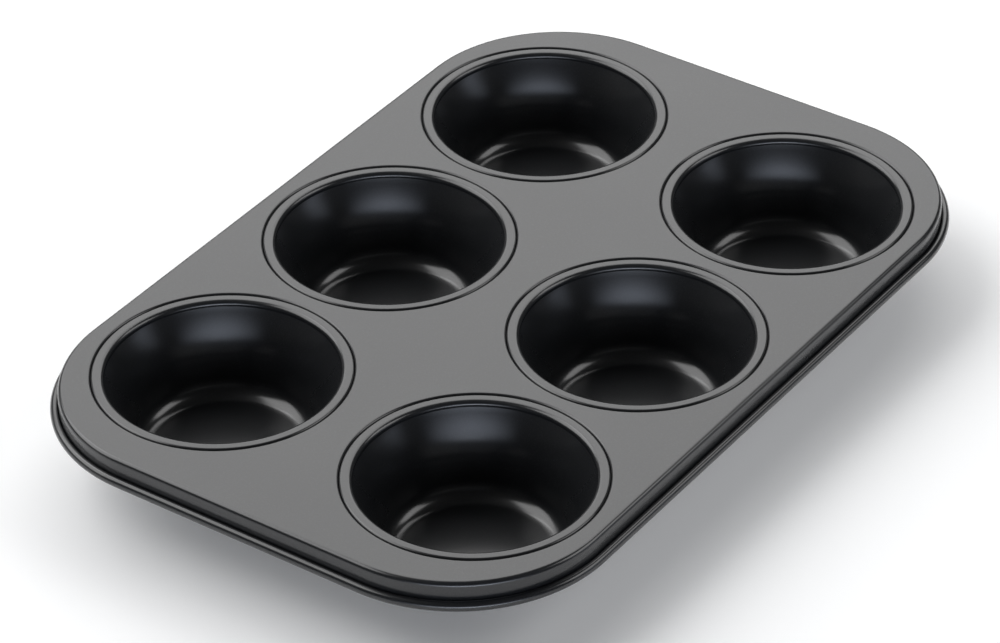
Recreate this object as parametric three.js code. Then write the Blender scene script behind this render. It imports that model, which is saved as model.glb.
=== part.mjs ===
// Six-cup muffin pan of coated sheet steel, in millimetres, +Z up, standing on its cup floors.
// One deck sheet holds six separately drawn cups in lock seams, and its rim is rolled round a wire.
import * as THREE from 'three';
import { mergeGeometries } from 'three/addons/utils/BufferGeometryUtils.js';

// Sheet, and the rows and columns of cups
const sheetThickness = 0.5;
const rowNames = ['front', 'back'];
const columnNames = ['left', 'middle', 'right'];

// Cup: the mouth is measured where the straight wall would meet the deck's top face
const mouthRadius = 34.8;
const cupDepth = 28.4;
const wallTaperDegrees = 17.2;
const floorFillet = 4.6;
const lipInside = 1.5;
const ringWidth = 1.4;

// Lock seam: the cup's turned-down leg stands in the fold of the deck's hole
const seamClearance = 0.3;
const seamBendInside = 0.3;
const hemHeight = 1;
const hemHeadroom = 0.85;

// Deck: flat metal left between neighbouring seams, and between the outer seams and the rounded edge
const columnWeb = 3.77;
const rowWeb = 10.72;
const endMargin = 10.4;
const sideMargin = 3.8;
const cornerMargin = 6;

// Skirt, and the wire in the rolled rim
const edgeInside = 1;
const skirtStraight = 5.45;
const wireRadius = 0.7;
const wireClearance = 0.3;

// Facets of the round forms
const cupSegments = 24;
const cornerSteps = 8;
const filletSteps = 3;
const bendSteps = 2;
const foldSteps = 4;
const curlSteps = 9;
const wireSides = 8;

// Finishes
const coatingColour = 0x2b2c2e;
const coatingRoughness = 0.42;
const coatingMetalness = 0.35;
const wireColour = 0x8d8f91;
const wireRoughness = 0.35;
const wireMetalness = 1;

const quarterTurn = Math.PI / 2;
const halfTurn = Math.PI;
const fullTurn = 2 * Math.PI;

// Outside radii of the bends
const lipOutside = lipInside + sheetThickness;
const seamBend = seamBendInside + sheetThickness;
const edgeRadius = edgeInside + sheetThickness;

// Cup radii. Heights in all profiles are taken from the deck's top face.
const bendAngle = quarterTurn - THREE.MathUtils.degToRad(wallTaperDegrees);
const tangentShare = Math.tan(bendAngle / 2);
const floorRadius = mouthRadius - cupDepth / Math.tan(bendAngle);
const floorFlat = floorRadius - floorFillet * tangentShare;
const ringInner = mouthRadius + lipOutside * tangentShare;
const ringOuter = ringInner + ringWidth;
const legOutside = ringOuter + seamBend;

// Seam radii, from the cup's leg outward to the flat of the deck
const foldInside = sheetThickness / 2 + seamClearance;
const foldOutside = foldInside + sheetThickness;
const foldRadius = legOutside - sheetThickness / 2;
const foldHeight = -sheetThickness - hemHeadroom - hemHeight;
const holeRadius = legOutside + seamClearance + seamBend;

// Layout of the cups and of the deck's flat
const columnPitch = 2 * holeRadius + columnWeb;
const rowPitch = 2 * holeRadius + rowWeb;
const flatReachX = (columnNames.length - 1) / 2 * columnPitch + holeRadius + endMargin;
const flatReachY = (rowNames.length - 1) / 2 * rowPitch + holeRadius + sideMargin;
const flatCorner = holeRadius + cornerMargin;

// Rolled rim
const boreRadius = wireRadius + wireClearance;
const beadRadius = boreRadius + sheetThickness;
const beadReach = edgeRadius + boreRadius;
const beadHeight = -edgeRadius - skirtStraight;

function coatedSteel() {
  return new THREE.MeshStandardMaterial({
    color: coatingColour,
    roughness: coatingRoughness,
    metalness: coatingMetalness,
  });
}

function plainSteel() {
  return new THREE.MeshStandardMaterial({
    color: wireColour,
    roughness: wireRoughness,
    metalness: wireMetalness,
  });
}

// Points along an arc, both ends included
function arc(centreX, centreY, radius, startAngle, endAngle, steps) {
  const points = [];
  for (let step = 0; step <= steps; step += 1) {
    const angle = startAngle + (endAngle - startAngle) * step / steps;
    points.push(new THREE.Vector2(centreX + radius * Math.cos(angle), centreY + radius * Math.sin(angle)));
  }
  return points;
}

// Clockwise circle round a cup, with its corners at the same angles as the cup's facets
function seamCircle(centre, radius) {
  return arc(centre.x, centre.y, radius, fullTurn, 0, cupSegments).slice(1);
}

// Counter-clockwise rounded rectangle, grown by an offset from the edge of the deck's flat
function deckOutline(offset) {
  const cornerX = flatReachX - flatCorner;
  const cornerY = flatReachY - flatCorner;
  const corners = [[cornerX, cornerY], [-cornerX, cornerY], [-cornerX, -cornerY], [cornerX, -cornerY]];
  return corners.flatMap(([x, y], quarter) => {
    const startAngle = quarter * quarterTurn;
    return arc(x, y, flatCorner + offset, startAngle, startAngle + quarterTurn, cornerSteps);
  });
}

// Skin swept along a profile of distance and height. outlineAt gives the closed outline at a distance.
function sweep(profile, outlineAt) {
  const rings = profile.map((point) => outlineAt(point.x));
  const count = rings[0].length;
  const positions = rings.flatMap((ring, level) => ring.flatMap(({ x, y }) => [x, y, profile[level].y]));
  const indices = [];
  for (let level = 0; level + 1 < rings.length; level += 1) {
    for (let point = 0; point < count; point += 1) {
      const here = level * count + point;
      const beside = level * count + (point + 1) % count;
      indices.push(here, here + count, beside + count);
      indices.push(here, beside + count, beside);
    }
  }
  const geometry = new THREE.BufferGeometry();
  geometry.setAttribute('position', new THREE.Float32BufferAttribute(positions, 3));
  geometry.setIndex(indices);
  return geometry;
}

// Places of the cups, named by row and column
function cupPlaces() {
  return rowNames.flatMap((rowName, row) => columnNames.map((columnName, column) => ({
    name: `cup_${rowName}_${columnName}`,
    x: (column - (columnNames.length - 1) / 2) * columnPitch,
    y: (row - (rowNames.length - 1) / 2) * rowPitch,
  })));
}

// Cup: along the outer face from the floor's middle to the seam leg, and back along the inner face
function cupProfile() {
  const lipAngle = quarterTurn + bendAngle;
  const filletAngle = bendAngle - quarterTurn;
  const filletHeight = floorFillet - cupDepth;
  return [
    new THREE.Vector2(0, -cupDepth - sheetThickness),
    ...arc(floorFlat, filletHeight, floorFillet + sheetThickness, -quarterTurn, filletAngle, filletSteps),
    ...arc(ringInner, -lipOutside, lipInside, lipAngle, quarterTurn, filletSteps),
    ...arc(ringOuter, -seamBend, seamBendInside, quarterTurn, 0, bendSteps),
    new THREE.Vector2(legOutside - sheetThickness, foldHeight),
    new THREE.Vector2(legOutside, foldHeight),
    ...arc(ringOuter, -seamBend, seamBend, 0, quarterTurn, bendSteps),
    ...arc(ringInner, -lipOutside, lipOutside, quarterTurn, lipAngle, filletSteps),
    ...arc(floorFlat, filletHeight, floorFillet, filletAngle, -quarterTurn, filletSteps),
    new THREE.Vector2(0, -cupDepth),
  ];
}

// Deck hole: down beside the cup's leg, folded under it and up inside it, and back along the other face
function seamProfile() {
  const hemTop = foldHeight + hemHeight;
  return [
    ...arc(holeRadius, -seamBend, seamBend, quarterTurn, halfTurn, bendSteps),
    ...arc(foldRadius, foldHeight, foldInside, 0, -halfTurn, foldSteps),
    new THREE.Vector2(foldRadius - foldInside, hemTop),
    new THREE.Vector2(foldRadius - foldOutside, hemTop),
    ...arc(foldRadius, foldHeight, foldOutside, -halfTurn, 0, foldSteps),
    ...arc(holeRadius, -seamBend, seamBendInside, halfTurn, quarterTurn, bendSteps),
  ];
}

// Deck edge: rounded over, down the skirt, rolled outward round the wire to just short of the skirt, and back
function rimProfile() {
  const curlEnd = fullTurn + Math.acos((wireClearance - boreRadius) / beadRadius);
  return [
    ...arc(0, -edgeRadius, edgeRadius, quarterTurn, 0, filletSteps),
    ...arc(beadReach, beadHeight, boreRadius, halfTurn, curlEnd, curlSteps),
    ...arc(beadReach, beadHeight, beadRadius, curlEnd, halfTurn, curlSteps),
    ...arc(0, -edgeRadius, edgeInside, 0, quarterTurn, filletSteps),
  ];
}

function buildDeckSheet(places) {
  const flat = new THREE.Shape(deckOutline(0));
  flat.holes = places.map((place) => new THREE.Path(seamCircle(place, holeRadius)));
  const topFace = new THREE.ShapeGeometry(flat);
  topFace.deleteAttribute('normal');
  topFace.deleteAttribute('uv');
  const underFace = topFace.clone().translate(0, 0, -sheetThickness);
  underFace.index.array.reverse();
  const rim = sweep(rimProfile(), deckOutline);
  const seams = places.map((place) => sweep(seamProfile(), (radius) => seamCircle(place, radius)));
  const mesh = new THREE.Mesh(mergeGeometries([topFace, underFace, rim, ...seams]), coatedSteel());
  mesh.name = 'deck_sheet';
  return mesh;
}

function buildCup(place) {
  const geometry = new THREE.LatheGeometry(cupProfile(), cupSegments).rotateX(quarterTurn);
  const mesh = new THREE.Mesh(geometry, coatedSteel());
  mesh.name = place.name;
  mesh.position.set(place.x, place.y, 0);
  return mesh;
}

function buildRimWire() {
  const section = arc(beadReach, beadHeight, wireRadius, fullTurn, 0, wireSides);
  const mesh = new THREE.Mesh(sweep(section, deckOutline), plainSteel());
  mesh.name = 'rim_wire';
  return mesh;
}

const places = cupPlaces();
const pan = new THREE.Group();
pan.position.z = cupDepth + sheetThickness;
pan.add(buildDeckSheet(places));
pan.add(...places.map(buildCup));
pan.add(buildRimWire());

export default pan;
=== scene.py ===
import math
import bmesh
import bpy
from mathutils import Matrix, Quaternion, Vector


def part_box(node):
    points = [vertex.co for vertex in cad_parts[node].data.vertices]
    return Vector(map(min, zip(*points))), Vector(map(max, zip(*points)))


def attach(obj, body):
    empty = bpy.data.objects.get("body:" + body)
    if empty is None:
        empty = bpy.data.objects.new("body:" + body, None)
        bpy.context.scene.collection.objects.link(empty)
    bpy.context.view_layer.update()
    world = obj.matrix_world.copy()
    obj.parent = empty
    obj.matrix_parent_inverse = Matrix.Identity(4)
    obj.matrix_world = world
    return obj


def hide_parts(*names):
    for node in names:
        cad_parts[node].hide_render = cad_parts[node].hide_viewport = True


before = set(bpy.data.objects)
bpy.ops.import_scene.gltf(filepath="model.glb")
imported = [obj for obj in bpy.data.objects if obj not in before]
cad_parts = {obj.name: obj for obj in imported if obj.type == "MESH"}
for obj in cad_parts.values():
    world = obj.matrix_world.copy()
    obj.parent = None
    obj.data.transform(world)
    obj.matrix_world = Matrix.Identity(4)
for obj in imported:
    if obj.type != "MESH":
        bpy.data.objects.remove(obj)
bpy.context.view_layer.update()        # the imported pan: deck sheet, six cups, rim wire
mm = 0.001
fullTurn = 2 * math.pi
weldDistance = 0.002 * mm
white = (1, 1, 1, 1)
print("frame loaded:", ", ".join(sorted(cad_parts)))

cupNames = sorted(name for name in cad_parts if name.startswith("cup_"))
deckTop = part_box("deck_sheet")[1].z


def cupCentre(name):
    low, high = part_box(name)
    return (low + high) / 2


# profiles are lists of (distance, height) in millimetres, heights taken from the deck's top
def bend(centre, height, radius, start, end, steps):
    points = []
    for step in range(steps + 1):
        angle = math.radians(start + (end - start) * step / steps)
        points.append((centre + radius * math.cos(angle), height + radius * math.sin(angle)))
    return points


def straight(first, last, steps):
    # points strictly between two profile points
    points = []
    for step in range(1, steps):
        share = step / steps
        points.append(tuple(a + (b - a) * share for a, b in zip(first, last)))
    return points


def alongTaper(point, taper, length):
    # a profile point moved up a wall that leans outward by the taper
    angle = math.radians(taper)
    return point[0] + length * math.sin(angle), point[1] + length * math.cos(angle)


def curve(start, startTaper, startReach, end, endTaper, endReach, steps):
    # points strictly between the ends of a rising wall that starts and ends at the given tapers
    span = math.dist(start, end)
    knots = (start, alongTaper(start, startTaper, startReach * span),
             alongTaper(end, endTaper, -endReach * span), end)
    points = []
    for step in range(1, steps):
        t = step / steps
        weights = ((1 - t) ** 3, 3 * t * (1 - t) ** 2, 3 * t * t * (1 - t), t ** 3)
        points.append(tuple(sum(w * k[axis] for w, k in zip(weights, knots)) for axis in (0, 1)))
    return points


def joinRuns(runs, steps):
    # bends in order, with the straight stretches between them cut into steps
    points = list(runs[0])
    for run in runs[1:]:
        points += straight(points[-1], run[0], steps)
        points += run
    return points


def roundRings(x, y, profile, segments):
    # a profile turned round an upright axis at x and y, both in millimetres
    rings = []
    for radius, height in profile:
        ring = []
        for index in range(segments):
            angle = fullTurn * index / segments
            ring.append(((x + radius * math.cos(angle)) * mm, (y + radius * math.sin(angle)) * mm,
                         deckTop + height * mm))
        rings.append(ring)
    return rings


def addRings(bm, rings, closed=False):
    # quads between neighbouring rings of points, every ring closed on itself
    rows = [[bm.verts.new(point) for point in ring] for ring in rings]
    if closed:
        rows.append(rows[0])
    for lower, upper in zip(rows, rows[1:]):
        for index in range(len(lower)):
            following = (index + 1) % len(lower)
            bm.faces.new((lower[index], lower[following], upper[following], upper[index]))
    return rows


def addPiece(name, bm, material):
    bmesh.ops.remove_doubles(bm, verts=bm.verts, dist=weldDistance)
    bmesh.ops.recalc_face_normals(bm, faces=bm.faces)
    mesh = bpy.data.meshes.new(name)
    bm.to_mesh(mesh)
    bm.free()
    mesh.shade_smooth()
    mesh.materials.append(material)
    piece = bpy.data.objects.new(name, mesh)
    bpy.context.scene.collection.objects.link(piece)
    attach(piece, "root")
    return piece


# drawn cup: sizes in millimetres, tapers in degrees from upright, wall reaches as shares of its length;
# steps count the facets of a bend, and the under ones belong to the face below
cupShape = dict(
    sheet=0.5, mouthRadius=34.8, depth=28.4, taper=17.2, flareTaper=29.2, flareReach=0.58, lowTaper=5.0,
    lowReach=0.3, floorFillet=5.6, lipReach=1.85, lipInside=1.05, lipTaper=-6.0, creaseBend=0.1,
    ringWidth=1.51, seamBend=0.3, seamGap=0.12, hemHeight=1.0, hemHeadroom=0.85, segments=144,
    filletSteps=14, underFilletSteps=12, wallSteps=24, creaseSteps=6, lipSteps=20, underLipSteps=12,
    seamSteps=8, underSeamSteps=6, legEndSteps=6, straightSteps=5)


def seamSizes(cup):
    # radii that the cup's ring and the deck's hole share
    tangent = math.tan(math.radians(90 - cup["taper"]) / 2)
    bendOutside = cup["seamBend"] + cup["sheet"]
    ringInner = cup["mouthRadius"] + cup["lipReach"] * tangent
    ringOuter = ringInner + cup["ringWidth"]
    legOutside = ringOuter + bendOutside
    return dict(
        tangent=tangent, bendOutside=bendOutside, ringInner=ringInner, ringOuter=ringOuter,
        foldRadius=legOutside - cup["sheet"] / 2,
        foldInside=cup["sheet"] / 2 + cup["seamGap"],
        foldHeight=-cup["sheet"] - cup["hemHeadroom"] - cup["hemHeight"],
        holeRadius=legOutside + cup["seamGap"] + bendOutside)


seam = seamSizes(cupShape)


def cupFace(cup, offset, filletSteps, lipSteps):
    # one face of the cup from its floor up to its ring, offset outward from the inner face
    lowTaper, flareTaper, lipTaper = cup["lowTaper"], cup["flareTaper"], cup["lipTaper"]
    floorRadius = cup["mouthRadius"] - cup["depth"] * math.tan(math.radians(cup["taper"]))
    floorFlat = floorRadius - cup["floorFillet"] * seam["tangent"]
    filletHeight = cup["floorFillet"] - cup["depth"]
    fillet = bend(floorFlat, filletHeight, cup["floorFillet"] + offset, -90, -lowTaper, filletSteps)
    # the lip rolls down until it is steep, and a crease parts it from the flared wall
    lipOutside = cup["lipInside"] + cup["sheet"]
    lip = bend(seam["ringInner"], -lipOutside, lipOutside - offset, 180 - lipTaper, 90, lipSteps)
    creaseReach = lipOutside + cup["creaseBend"]
    creaseX = seam["ringInner"] - creaseReach * math.cos(math.radians(lipTaper))
    creaseZ = creaseReach * math.sin(math.radians(lipTaper)) - lipOutside
    crease = bend(creaseX, creaseZ, cup["creaseBend"] + offset, -flareTaper, -lipTaper, cup["creaseSteps"])
    wall = curve(fillet[-1], lowTaper, cup["lowReach"], crease[0], flareTaper, cup["flareReach"],
                 cup["wallSteps"])
    return fillet + wall + crease + lip


def cupProfile(cup):
    # along the outer face from the floor's middle to the seam leg, and back along the inner face
    sheet = cup["sheet"]
    outerFace = cupFace(cup, sheet, cup["underFilletSteps"], cup["underLipSteps"])
    innerFace = cupFace(cup, 0, cup["filletSteps"], cup["lipSteps"])
    return joinRuns([
        [(0, -cup["depth"] - sheet)], outerFace,
        bend(seam["ringOuter"], -seam["bendOutside"], cup["seamBend"], 90, 0, cup["underSeamSteps"]),
        bend(seam["foldRadius"], seam["foldHeight"] + sheet / 2, sheet / 2, -180, 0, cup["legEndSteps"]),
        bend(seam["ringOuter"], -seam["bendOutside"], seam["bendOutside"], 0, 90, cup["seamSteps"]),
        innerFace[::-1], [(0, -cup["depth"])]], cup["straightSteps"])


def makeCup(name, cup, material):
    centre = cupCentre(name)
    profile = cupProfile(cup)
    bm = bmesh.new()
    rows = addRings(bm, roundRings(centre.x / mm, centre.y / mm, profile[1:-1], cup["segments"]))
    # both faces of the floor close on the axis
    for row, middle in ((rows[0], profile[0]), (rows[-1], profile[-1])):
        pole = bm.verts.new((centre.x, centre.y, deckTop + middle[1] * mm))
        for index in range(len(row)):
            bm.faces.new((row[index], row[(index + 1) % len(row)], pole))
    piece = addPiece(name + "_drawn", bm, material)
    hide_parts(name)
    return piece


# rim wire and deck sheet, sizes in millimetres; the support is a narrow flat band beside every bend,
# which keeps the flat's shading level
wireShape = dict(radius=0.7, gap=0.3, sides=16)
deckShape = dict(
    corner=45.57, edgeInside=1.0, skirtStraight=5.45, support=0.3, segments=144, flatSteps=4, seamSteps=8,
    underSeamSteps=6, foldSteps=10, underFoldSteps=12, hemSteps=6, seamStraightSteps=3, edgeSteps=16,
    underEdgeSteps=14, boreSteps=30, beadSteps=44, curlEndSteps=6, rimStraightSteps=4)
cellColumns = (-1, 0, 1)
cellRows = (-1, 1)
tiny = 1e-9              # a ray flatter than this runs along a border and never meets it
stationDigits = 4        # neighbouring cells meet in the same point of the rim


def rimSizes(cup, deck, wire):
    edge = deck["edgeInside"] + cup["sheet"]
    bore = wire["radius"] + wire["gap"]
    return dict(edge=edge, bore=bore, bead=bore + cup["sheet"], beadReach=edge + bore,
                beadHeight=-edge - deck["skirtStraight"])


rim = rimSizes(cupShape, deckShape, wireShape)


def deckOutline(deck):
    # spacing of the cups, reach of the flat and the radius of its corners
    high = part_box("deck_sheet")[1] / mm
    overhang = rim["beadReach"] + rim["bead"]
    return dict(
        pitchX=(cupCentre("cup_front_right").x - cupCentre("cup_front_middle").x) / mm,
        pitchY=(cupCentre("cup_back_middle").y - cupCentre("cup_front_middle").y) / mm,
        reachX=high.x - overhang, reachY=high.y - overhang, corner=deck["corner"])


outline = deckOutline(deckShape)


def outlineHit(x, y, dx, dy):
    # where a ray from inside meets the edge of the flat, and the edge's outward normal there
    reach = []
    if abs(dx) > tiny:
        reach.append(((math.copysign(outline["reachX"], dx) - x) / dx, Vector((math.copysign(1, dx), 0))))
    if abs(dy) > tiny:
        reach.append(((math.copysign(outline["reachY"], dy) - y) / dy, Vector((0, math.copysign(1, dy)))))
    length, normal = min(reach, key=lambda pair: pair[0])
    hit = Vector((x + dx * length, y + dy * length))
    middle = Vector((math.copysign(outline["reachX"] - outline["corner"], hit.x),
                     math.copysign(outline["reachY"] - outline["corner"], hit.y)))
    inCorner = abs(hit.x) > abs(middle.x) and abs(hit.y) > abs(middle.y)
    if inCorner:
        toCentre = Vector((x, y)) - middle
        along = toCentre.dot(Vector((dx, dy)))
        length = -along + math.sqrt(along ** 2 - toCentre.length_squared + outline["corner"] ** 2)
        hit = Vector((x + dx * length, y + dy * length))
        normal = (hit - middle).normalized()
    return hit, normal


# the flat is cut into one cell per cup, and neighbouring cells meet halfway between their cups
def cellCentre(column, row):
    return column * outline["pitchX"], row * outline["pitchY"] / 2


def borderReach(column, row, dx, dy):
    # distance along a ray from the cell's centre to the nearest border with another cell
    reach = [math.inf]
    if abs(dx) > tiny and column + math.copysign(1, dx) in cellColumns:
        reach.append(outline["pitchX"] / 2 / abs(dx))
    if abs(dy) > tiny and row * dy < 0:
        reach.append(outline["pitchY"] / 2 / abs(dy))
    return min(reach)


def cellCorners(deck, column, row):
    # corners on a border with another cell, by the ray that takes each: its place and the rim's normal
    x, y = cellCentre(column, row)
    corners = {}
    for sideX in (-1, 1):
        for sideY in (-1, 1):
            innerX = column + sideX in cellColumns
            innerY = row * sideY < 0
            if not innerX and not innerY:
                continue         # the deck's own rounded corner
            corner = Vector((x + sideX * outline["pitchX"] / 2 if innerX else sideX * outline["reachX"],
                             y + sideY * outline["pitchY"] / 2 if innerY else sideY * outline["reachY"]))
            normal = None
            if not innerX:
                normal = Vector((sideX, 0))
            if not innerY:
                normal = Vector((0, sideY))
            angle = math.atan2(corner.y - y, corner.x - x)
            index = round(angle / fullTurn * deck["segments"]) % deck["segments"]
            corners[index] = (corner, normal)
    return corners


def deckCell(deck, column, row):
    # for every angle round a cup: the hole's edge, the cell's edge, and the rim's normal if it is there
    x, y = cellCentre(column, row)
    centre = Vector((x, y))
    corners = cellCorners(deck, column, row)
    cell = []
    for index in range(deck["segments"]):
        angle = fullTurn * index / deck["segments"]
        dx, dy = math.cos(angle), math.sin(angle)
        ray = Vector((dx, dy))
        edge, normal = outlineHit(x, y, dx, dy)
        border = borderReach(column, row, dx, dy)
        if border < (edge - centre).length:
            edge, normal = centre + border * ray, None
        if index in corners:
            edge, normal = corners[index]
        cell.append((centre + seam["holeRadius"] * ray, edge, normal))
    return cell


def flatRings(deck, cell, height):
    # one face of a cell, from the hole's edge to the cell's edge
    support, steps = deck["support"], deck["flatSteps"]
    places = [(0, 0), (0, support)]
    places += [(step / steps, 0) for step in range(1, steps)]
    places += [(1, -support), (1, 0)]
    rings = []
    for share, shift in places:
        ring = []
        for hole, edge, normal in cell:
            point = hole.lerp(edge, share + shift / (edge - hole).length)
            ring.append((point.x * mm, point.y * mm, deckTop + height * mm))
        rings.append(ring)
    return rings


def seamProfile(cup, deck):
    # down beside the cup's leg, folded under it and up inside it, and back along the other face
    sheet = cup["sheet"]
    holeRadius, bendOutside = seam["holeRadius"], seam["bendOutside"]
    foldRadius, foldHeight, foldInside = seam["foldRadius"], seam["foldHeight"], seam["foldInside"]
    hemMiddle = foldRadius - foldInside - sheet / 2
    hemTop = foldHeight + cup["hemHeight"]
    return joinRuns([
        bend(holeRadius, -bendOutside, bendOutside, 90, 180, deck["seamSteps"]),
        bend(foldRadius, foldHeight, foldInside, 0, -180, deck["foldSteps"]),
        bend(hemMiddle, hemTop - sheet / 2, sheet / 2, 0, 180, deck["hemSteps"]),
        bend(foldRadius, foldHeight, foldInside + sheet, -180, 0, deck["underFoldSteps"]),
        bend(holeRadius, -bendOutside, cup["seamBend"], 180, 90, deck["underSeamSteps"])],
        deck["seamStraightSteps"])


def rimProfile(cup, deck, wire):
    # over the deck's edge, down the skirt, round the wire to just short of the skirt, and back
    edge, bore, bead = rim["edge"], rim["bore"], rim["bead"]
    beadReach, beadHeight = rim["beadReach"], rim["beadHeight"]
    curlEnd = 360 + math.degrees(math.acos((wire["gap"] - bore) / bead))
    middle = (bore + bead) / 2
    endX = beadReach + middle * math.cos(math.radians(curlEnd))
    endZ = beadHeight + middle * math.sin(math.radians(curlEnd))
    return joinRuns([
        bend(0, -edge, edge, 90, 0, deck["edgeSteps"]),
        bend(beadReach, beadHeight, bore, 180, curlEnd, deck["boreSteps"]),
        bend(endX, endZ, cup["sheet"] / 2, curlEnd + 180, curlEnd, deck["curlEndSteps"]),
        bend(beadReach, beadHeight, bead, curlEnd, 180, deck["beadSteps"]),
        bend(0, -edge, deck["edgeInside"], 0, 90, deck["underEdgeSteps"])],
        deck["rimStraightSteps"])


def rimRings(stations, profile):
    # a profile swept round the edge of the flat
    rings = []
    for distance, height in profile:
        rings.append([((p.x + n.x * distance) * mm, (p.y + n.y * distance) * mm, deckTop + height * mm)
                      for p, n in stations])
    return rings


def makeDeck(cup, deck, wire, material):
    bm = bmesh.new()
    stations = {}
    for row in cellRows:
        for column in cellColumns:
            cell = deckCell(deck, column, row)
            for height in (0, -cup["sheet"]):
                addRings(bm, flatRings(deck, cell, height))
            addRings(bm, roundRings(*cellCentre(column, row), seamProfile(cup, deck), deck["segments"]))
            for hole, edge, normal in cell:
                if normal is not None:
                    stations[(round(edge.x, stationDigits), round(edge.y, stationDigits))] = (edge, normal)
    ordered = sorted(stations.values(), key=lambda pair: math.atan2(pair[0].y, pair[0].x))
    addRings(bm, rimRings(ordered, rimProfile(cup, deck, wire)))
    piece = addPiece("deck_sheet_pressed", bm, material)
    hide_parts("deck_sheet")
    return piece, ordered


def makeWire(wire, stations, material):
    section = bend(rim["beadReach"], rim["beadHeight"], wire["radius"], 360, 0, wire["sides"])
    bm = bmesh.new()
    addRings(bm, rimRings(stations, section[:-1]), closed=True)
    piece = addPiece("rim_wire_drawn", bm, material)
    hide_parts("rim_wire")
    return piece


# shader helpers
def addNode(tree, kind, **values):
    node = tree.nodes.new(kind)
    for name, value in values.items():
        setattr(node, name, value)
    return node


def setInput(node, name, value):
    node.inputs[name].default_value = value


# grain shared by the coating and the bare wire: fine flakes, and clouds that vary the gloss
grainLook = dict(
    fineDetail=3.0, fineRoughness=0.6, cloudDetail=4.0, cloudRoughness=0.55, cloudMiddle=0.5,
    flakeFrom=0.5, flakeFull=0.72)


def makeGrainGroup(look):
    tree = bpy.data.node_groups.new("sheetGrain", "ShaderNodeTree")
    for way, kind, names in (
            ("INPUT", "NodeSocketColor", ("Colour", "Paler")),
            ("INPUT", "NodeSocketFloat", ("Fine Scale", "Cloud Scale", "Roughness", "Roughness Spread")),
            ("INPUT", "NodeSocketFloat", ("Coat", "Coat Spread")),
            ("OUTPUT", "NodeSocketColor", ("Colour",)),
            ("OUTPUT", "NodeSocketFloat", ("Roughness", "Coat", "Height"))):
        for name in names:
            tree.interface.new_socket(name, in_out=way, socket_type=kind)
    inside = addNode(tree, "NodeGroupInput")
    outside = addNode(tree, "NodeGroupOutput")
    place = addNode(tree, "ShaderNodeTexCoord")
    fine = addNode(tree, "ShaderNodeTexNoise")
    cloud = addNode(tree, "ShaderNodeTexNoise")
    for texture, name in ((fine, "fine"), (cloud, "cloud")):
        setInput(texture, "Detail", look[name + "Detail"])
        setInput(texture, "Roughness", look[name + "Roughness"])
        tree.links.new(place.outputs["Object"], texture.inputs["Vector"])
        tree.links.new(inside.outputs[name.capitalize() + " Scale"], texture.inputs["Scale"])
    flake = addNode(tree, "ShaderNodeMapRange")
    setInput(flake, "From Min", look["flakeFrom"])
    setInput(flake, "From Max", look["flakeFull"])
    tree.links.new(fine.outputs["Fac"], flake.inputs["Value"])
    mix = addNode(tree, "ShaderNodeMix", data_type="RGBA")
    tree.links.new(flake.outputs["Result"], mix.inputs["Factor"])
    tree.links.new(inside.outputs["Colour"], mix.inputs[6])      # 6, 7 and 2 are its colour sockets
    tree.links.new(inside.outputs["Paler"], mix.inputs[7])
    tree.links.new(mix.outputs[2], outside.inputs["Colour"])
    centred = addNode(tree, "ShaderNodeMath", operation="SUBTRACT")
    centred.inputs[1].default_value = look["cloudMiddle"]
    tree.links.new(cloud.outputs["Fac"], centred.inputs[0])
    for name in ("Roughness", "Coat"):
        spread = addNode(tree, "ShaderNodeMath", operation="MULTIPLY_ADD")
        tree.links.new(centred.outputs[0], spread.inputs[0])
        tree.links.new(inside.outputs[name + " Spread"], spread.inputs[1])
        tree.links.new(inside.outputs[name], spread.inputs[2])
        tree.links.new(spread.outputs[0], outside.inputs[name])
    tree.links.new(fine.outputs["Fac"], outside.inputs["Height"])
    return tree


grainGroup = makeGrainGroup(grainLook)

# satin non-stick coating under its own smoother skin, and bare drawn wire; colours linear, scales per
# metre, bump distances in millimetres
coatingLook = dict(
    colour=(0.0056, 0.0062, 0.0073, 1), paler=(0.0112, 0.0122, 0.0138, 1), fineScale=2200.0, cloudScale=28.0,
    roughness=0.5, roughnessSpread=0.08, bumpStrength=0.07, bumpDistance=0.02, metallic=0.0, ior=1.225,
    coat=0.9, coatSpread=0.12, coatRoughness=0.18, coatIor=1.55)
wireLook = dict(
    colour=(0.42, 0.42, 0.43, 1), paler=(0.55, 0.55, 0.56, 1), fineScale=900.0, cloudScale=40.0,
    roughness=0.34, roughnessSpread=0.1, bumpStrength=0.2, bumpDistance=0.02, metallic=1.0, ior=1.5,
    coat=0.0, coatSpread=0.0, coatRoughness=0.3, coatIor=1.5)


def makeSurface(name, look):
    material = bpy.data.materials.new(name)
    material.use_nodes = True
    tree = material.node_tree
    shader = tree.nodes["Principled BSDF"]
    grain = addNode(tree, "ShaderNodeGroup", node_tree=grainGroup)
    for socket, key in (
            ("Colour", "colour"), ("Paler", "paler"), ("Fine Scale", "fineScale"),
            ("Cloud Scale", "cloudScale"), ("Roughness", "roughness"),
            ("Roughness Spread", "roughnessSpread"), ("Coat", "coat"), ("Coat Spread", "coatSpread")):
        setInput(grain, socket, look[key])
    bump = addNode(tree, "ShaderNodeBump")
    setInput(bump, "Strength", look["bumpStrength"])
    setInput(bump, "Distance", look["bumpDistance"] * mm)
    tree.links.new(grain.outputs["Height"], bump.inputs["Height"])
    tree.links.new(bump.outputs["Normal"], shader.inputs["Normal"])
    for output, socket in (("Colour", "Base Color"), ("Roughness", "Roughness"), ("Coat", "Coat Weight")):
        tree.links.new(grain.outputs[output], shader.inputs[socket])
    for socket, key in (
            ("Coat Roughness", "coatRoughness"), ("Coat IOR", "coatIor"), ("Metallic", "metallic"),
            ("IOR", "ior")):
        setInput(shader, socket, look[key])
    return material


coating = makeSurface("nonstickCoating", coatingLook)
wireSteel = makeSurface("wireSteel", wireLook)

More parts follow.
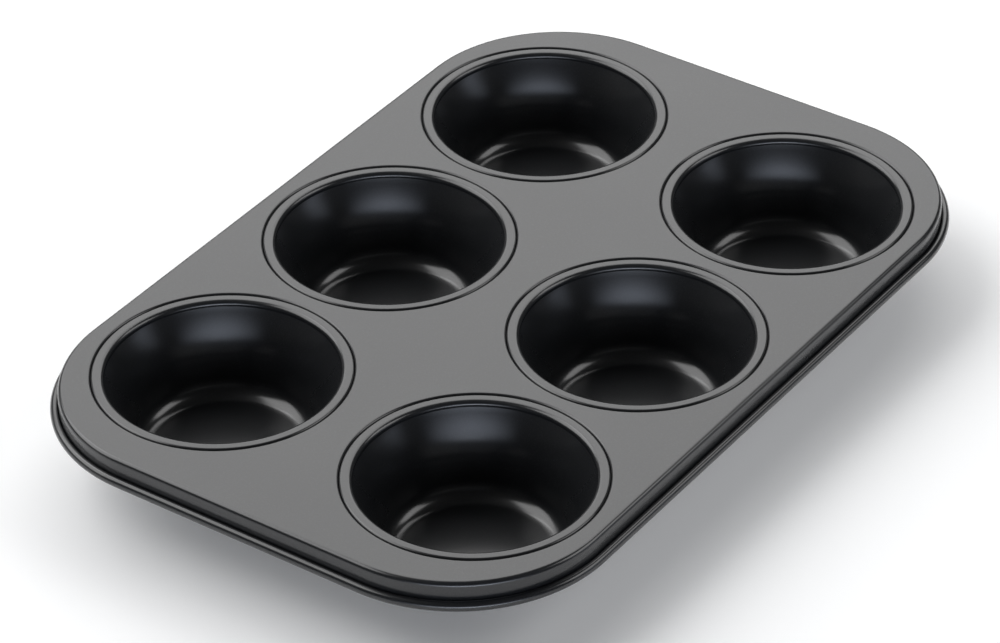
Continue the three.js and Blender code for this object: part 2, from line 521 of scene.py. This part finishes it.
for cupName in cupNames:
    makeCup(cupName, cupShape, coating)
print("cups drawn:", len(cupNames))
deckPiece, rimStations = makeDeck(cupShape, deckShape, wireShape, coating)
print("deck pressed:", len(deckPiece.data.polygons), "faces")
makeWire(wireShape, rimStations, wireSteel)
print("rim wired")

# camera fitted to the cups' rings, angles in degrees, target and distance in metres
cameraLook = dict(
    azimuth=-54.635, elevation=35.436, roll=-0.823, distance=1.3842, target=(-0.01773, -0.00819), lens=168.80,
    sensor=36.0)


def makeCamera(look):
    azimuth, elevation = math.radians(look["azimuth"]), math.radians(look["elevation"])
    back = Vector((math.sin(azimuth) * math.cos(elevation), -math.cos(azimuth) * math.cos(elevation),
                   math.sin(elevation)))
    data = bpy.data.cameras.new("photoCamera")
    data.lens = look["lens"]
    data.sensor_width = look["sensor"]
    camera = bpy.data.objects.new("photoCamera", data)
    camera.rotation_mode = "QUATERNION"
    turn = back.to_track_quat("Z", "Y") @ Quaternion((0, 0, 1), math.radians(look["roll"]))
    camera.rotation_quaternion = turn
    camera.location = Vector((*look["target"], deckTop)) + back * look["distance"]
    bpy.context.scene.collection.objects.link(camera)
    bpy.context.scene.camera = camera
    return camera


makeCamera(cameraLook)
print("camera placed")

# pale floor, made a little lighter where the camera or a reflection sees it; lengths in metres
floorLook = dict(
    colour=(0.9, 0.9, 0.9, 1), roughness=0.7, specular=0.0, seenGlow=0.12, size=8.0, segments=4, drop=0.0002)


def makeFloor(look):
    bm = bmesh.new()
    bmesh.ops.create_grid(bm, x_segments=look["segments"], y_segments=look["segments"], size=look["size"] / 2)
    mesh = bpy.data.meshes.new("floor")
    bm.to_mesh(mesh)
    bm.free()
    floor = bpy.data.objects.new("floor", mesh)
    floor.location.z = -look["drop"]
    material = bpy.data.materials.new("paleFloor")
    material.use_nodes = True
    tree = material.node_tree
    shader = tree.nodes["Principled BSDF"]
    setInput(shader, "Base Color", look["colour"])
    setInput(shader, "Roughness", look["roughness"])
    setInput(shader, "Specular IOR Level", look["specular"])
    setInput(shader, "Emission Color", white)
    rays = addNode(tree, "ShaderNodeLightPath")
    seen = rays.outputs["Is Camera Ray"]
    for kind in ("Is Glossy Ray", "Is Transmission Ray"):
        either = addNode(tree, "ShaderNodeMath", operation="ADD")
        tree.links.new(seen, either.inputs[0])
        tree.links.new(rays.outputs[kind], either.inputs[1])
        seen = either.outputs[0]
    glow = addNode(tree, "ShaderNodeMath", operation="MULTIPLY")
    tree.links.new(seen, glow.inputs[0])
    glow.inputs[1].default_value = look["seenGlow"]
    tree.links.new(glow.outputs[0], shader.inputs["Emission Strength"])
    mesh.materials.append(material)
    bpy.context.scene.collection.objects.link(floor)
    return floor


makeFloor(floorLook)
print("floor laid")

# soft boxes: azimuth is turned from the camera's line of sight, positive to its right; sizes in metres,
# level 1 is a white card, feather is the share of the width and of the height over which a box fades out
softBoxes = dict(
    back=dict(
        azimuth=0, elevation=43, width=2.89, height=1.87, level=2.5, tint=(1, 1, 1), feather=(0.22, 0.2)),
    left=dict(
        azimuth=-72, elevation=44, width=2.57, height=1.96, level=3.65, tint=(1, 1, 1), feather=(0.4, 0.25)),
    right=dict(
        azimuth=90, elevation=37, width=1.53, height=1.1, level=3.1, tint=(1, 1, 1), feather=(0.3, 0.3)),
    front=dict(
        azimuth=177, elevation=16, width=4.57, height=0.66, level=2.4, tint=(0.86, 0.95, 1.13),
        feather=(1, 1)),
    frontLow=dict(
        azimuth=175, elevation=5.5, width=3.93, height=0.42, level=8.5, tint=(0.9, 0.97, 1.1),
        feather=(1, 0.6)),
    frontRight=dict(
        azimuth=97, elevation=14, width=1.8, height=0.62, level=1.2, tint=(0.86, 0.95, 1.13),
        feather=(1, 1)))
boxDistance = 2.2
boxMiddle = 0.5          # a box's own coordinates run from 0 to 1 across it
worldLevel = 0.05


def featherBox(data, feather):
    # fades the box out toward its sides, as cloth in front of a lamp does
    data.use_nodes = True
    tree = data.node_tree
    place = addNode(tree, "ShaderNodeNewGeometry")
    split = addNode(tree, "ShaderNodeSeparateXYZ")
    tree.links.new(place.outputs["Parametric"], split.inputs["Vector"])
    both = addNode(tree, "ShaderNodeMath", operation="MULTIPLY")
    for axis, share in enumerate(feather):
        fromSide = addNode(tree, "ShaderNodeMath", operation="PINGPONG")
        fromSide.inputs[1].default_value = boxMiddle
        fade = addNode(tree, "ShaderNodeMapRange", interpolation_type="SMOOTHSTEP")
        setInput(fade, "From Max", share * boxMiddle)
        tree.links.new(split.outputs[axis], fromSide.inputs[0])
        tree.links.new(fromSide.outputs[0], fade.inputs["Value"])
        tree.links.new(fade.outputs["Result"], both.inputs[axis])
    tree.links.new(both.outputs[0], tree.nodes["Emission"].inputs["Strength"])


def makeSoftBox(name, look):
    heading = math.radians(90 + cameraLook["azimuth"] - look["azimuth"])
    elevation = math.radians(look["elevation"])
    outward = Vector((math.cos(heading) * math.cos(elevation), math.sin(heading) * math.cos(elevation),
                      math.sin(elevation)))
    data = bpy.data.lights.new(name, "AREA")
    data.shape = "RECTANGLE"
    data.size = look["width"]
    data.size_y = look["height"]
    data.energy = look["level"] * math.pi * look["width"] * look["height"]
    data.color = look["tint"]
    featherBox(data, look["feather"])
    lamp = bpy.data.objects.new(name, data)
    lamp.location = outward * boxDistance
    lamp.rotation_mode = "QUATERNION"
    lamp.rotation_quaternion = outward.to_track_quat("Z", "Y")
    lamp.visible_camera = False
    bpy.context.scene.collection.objects.link(lamp)
    return lamp


for boxName, boxLook in softBoxes.items():
    makeSoftBox("softBox_" + boxName, boxLook)

world = bpy.data.worlds.new("studio")
bpy.context.scene.world = world
world.use_nodes = True
background = world.node_tree.nodes["Background"]
setInput(background, "Color", white)
setInput(background, "Strength", worldLevel)
bpy.context.scene.view_settings.view_transform = "Standard"
print("studio lit:", ", ".join(softBoxes))
